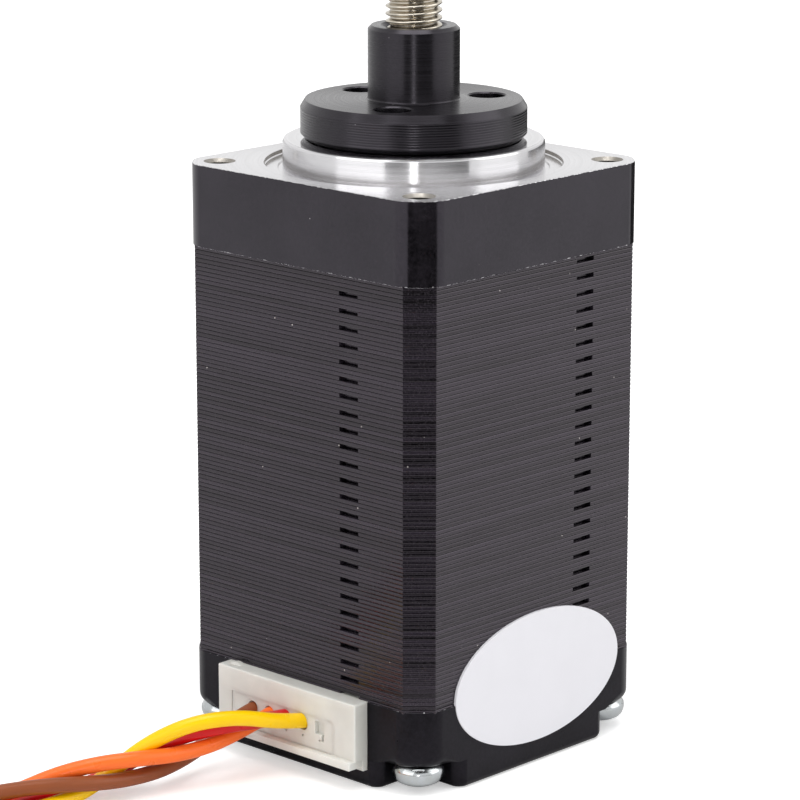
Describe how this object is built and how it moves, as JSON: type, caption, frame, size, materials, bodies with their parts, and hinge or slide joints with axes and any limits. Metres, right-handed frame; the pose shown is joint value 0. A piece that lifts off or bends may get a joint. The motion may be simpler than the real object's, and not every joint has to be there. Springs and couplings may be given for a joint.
{
  "type": "external linear stepper motor",
  "caption": "Square stepper motor with a round pilot, a threaded lead screw out of its front and a black round flange nut that the screw drives, with coloured leads in a plug.",
  "frame": {"origin": "centre of the rear end cap's flat rear face, on the screw axis", "axes": "+Z along the lead screw away from the motor, -Y out of the connector, +X out of the label side"},
  "size_m": [0.038, 0.1016, 0.15],
  "materials": {
    "black_paint": "die-cast aluminium, black paint on the sides, machined face",
    "sheet_stack": "blackened silicon steel sheets",
    "insulator": "moulded nylon",
    "winding": "enamelled copper wire",
    "zinc_steel": "zinc-plated steel",
    "label": "bare white label",
    "bearing_steel": "ground bearing steel",
    "board": "glass-epoxy board",
    "contact_metal": "tin-plated brass",
    "white_nylon": "translucent white nylon",
    "wire_red": "red soft insulation",
    "wire_yellow": "yellow soft insulation",
    "wire_orange": "orange soft insulation",
    "wire_brown": "brown soft insulation",
    "wire_coil": "wound lead wires",
    "tie": "black plastic tie",
    "shaft_steel": "ground steel",
    "rotor_iron": "silicon steel sheets",
    "screw_steel": "rolled stainless steel",
    "magnet": "sintered magnet, nickel plated",
    "spacer": "plain aluminium",
    "black_acetal": "black acetal, turned"
  },
  "bodies": {
    "motor": {"front_end_cap": "black_paint", "rear_end_cap": "black_paint", "stator_core": "sheet_stack", "front_winding_insulator": "insulator", "rear_winding_insulator": "insulator", "phase_a_coils": "winding", "phase_b_coils": "winding", "case_screws": "zinc_steel", "blank_label": "label", "front_bearing_outer_race": "bearing_steel", "rear_bearing_outer_race": "bearing_steel", "bearing_shields": "bearing_steel", "wave_washer": "zinc_steel", "terminal_board": "board", "header_pins": "contact_metal", "connector_header": "white_nylon", "plug_housing": "white_nylon", "crimp_contacts": "contact_metal", "lead_wire_red": "wire_red", "lead_wire_yellow": "wire_yellow", "lead_wire_orange": "wire_orange", "lead_wire_brown": "wire_brown", "tinned_ends": "contact_metal", "lead_coil": "wire_coil", "coil_tie": "tie"},
    "rotor": {"rotor_shaft": "shaft_steel", "rotor_cups": "rotor_iron", "lead_screw": "screw_steel", "rotor_magnets": "magnet", "rotor_spacer": "spacer", "bearing_shims": "shaft_steel", "front_bearing_inner_race": "bearing_steel", "rear_bearing_inner_race": "bearing_steel"},
    "front_balls": {"front_ball_set": "bearing_steel"},
    "rear_balls": {"rear_ball_set": "bearing_steel"},
    "nut": {"flange_nut": "black_acetal"}
  },
  "joints": [
    {"name": "screw_spin", "type": "hinge", "parent": "motor", "child": "rotor", "pos_m": [0, 0, 0.025], "axis": [0, 0, -1], "range_deg": [0, 45354.33]},
    {"name": "nut_travel", "type": "slide", "parent": "motor", "child": "nut", "axis": [0, 0, 1], "range_m": [0, 0.08]},
    {"name": "front_balls_roll", "type": "hinge", "parent": "motor", "child": "front_balls", "pos_m": [0, 0, 0.0475], "axis": [0, 0, -1], "range_deg": [0, 17859]},
    {"name": "rear_balls_roll", "type": "hinge", "parent": "motor", "child": "rear_balls", "pos_m": [0, 0, 0.004], "axis": [0, 0, -1], "range_deg": [0, 17859]}
  ],
  "couplings": [
    {"joint": "nut_travel", "follows": "screw_spin", "m_per_rad": 0.00010106},
    {"joint": "front_balls_roll", "follows": "screw_spin", "ratio": 0.39375},
    {"joint": "rear_balls_roll", "follows": "screw_spin", "ratio": 0.39375}
  ]
}
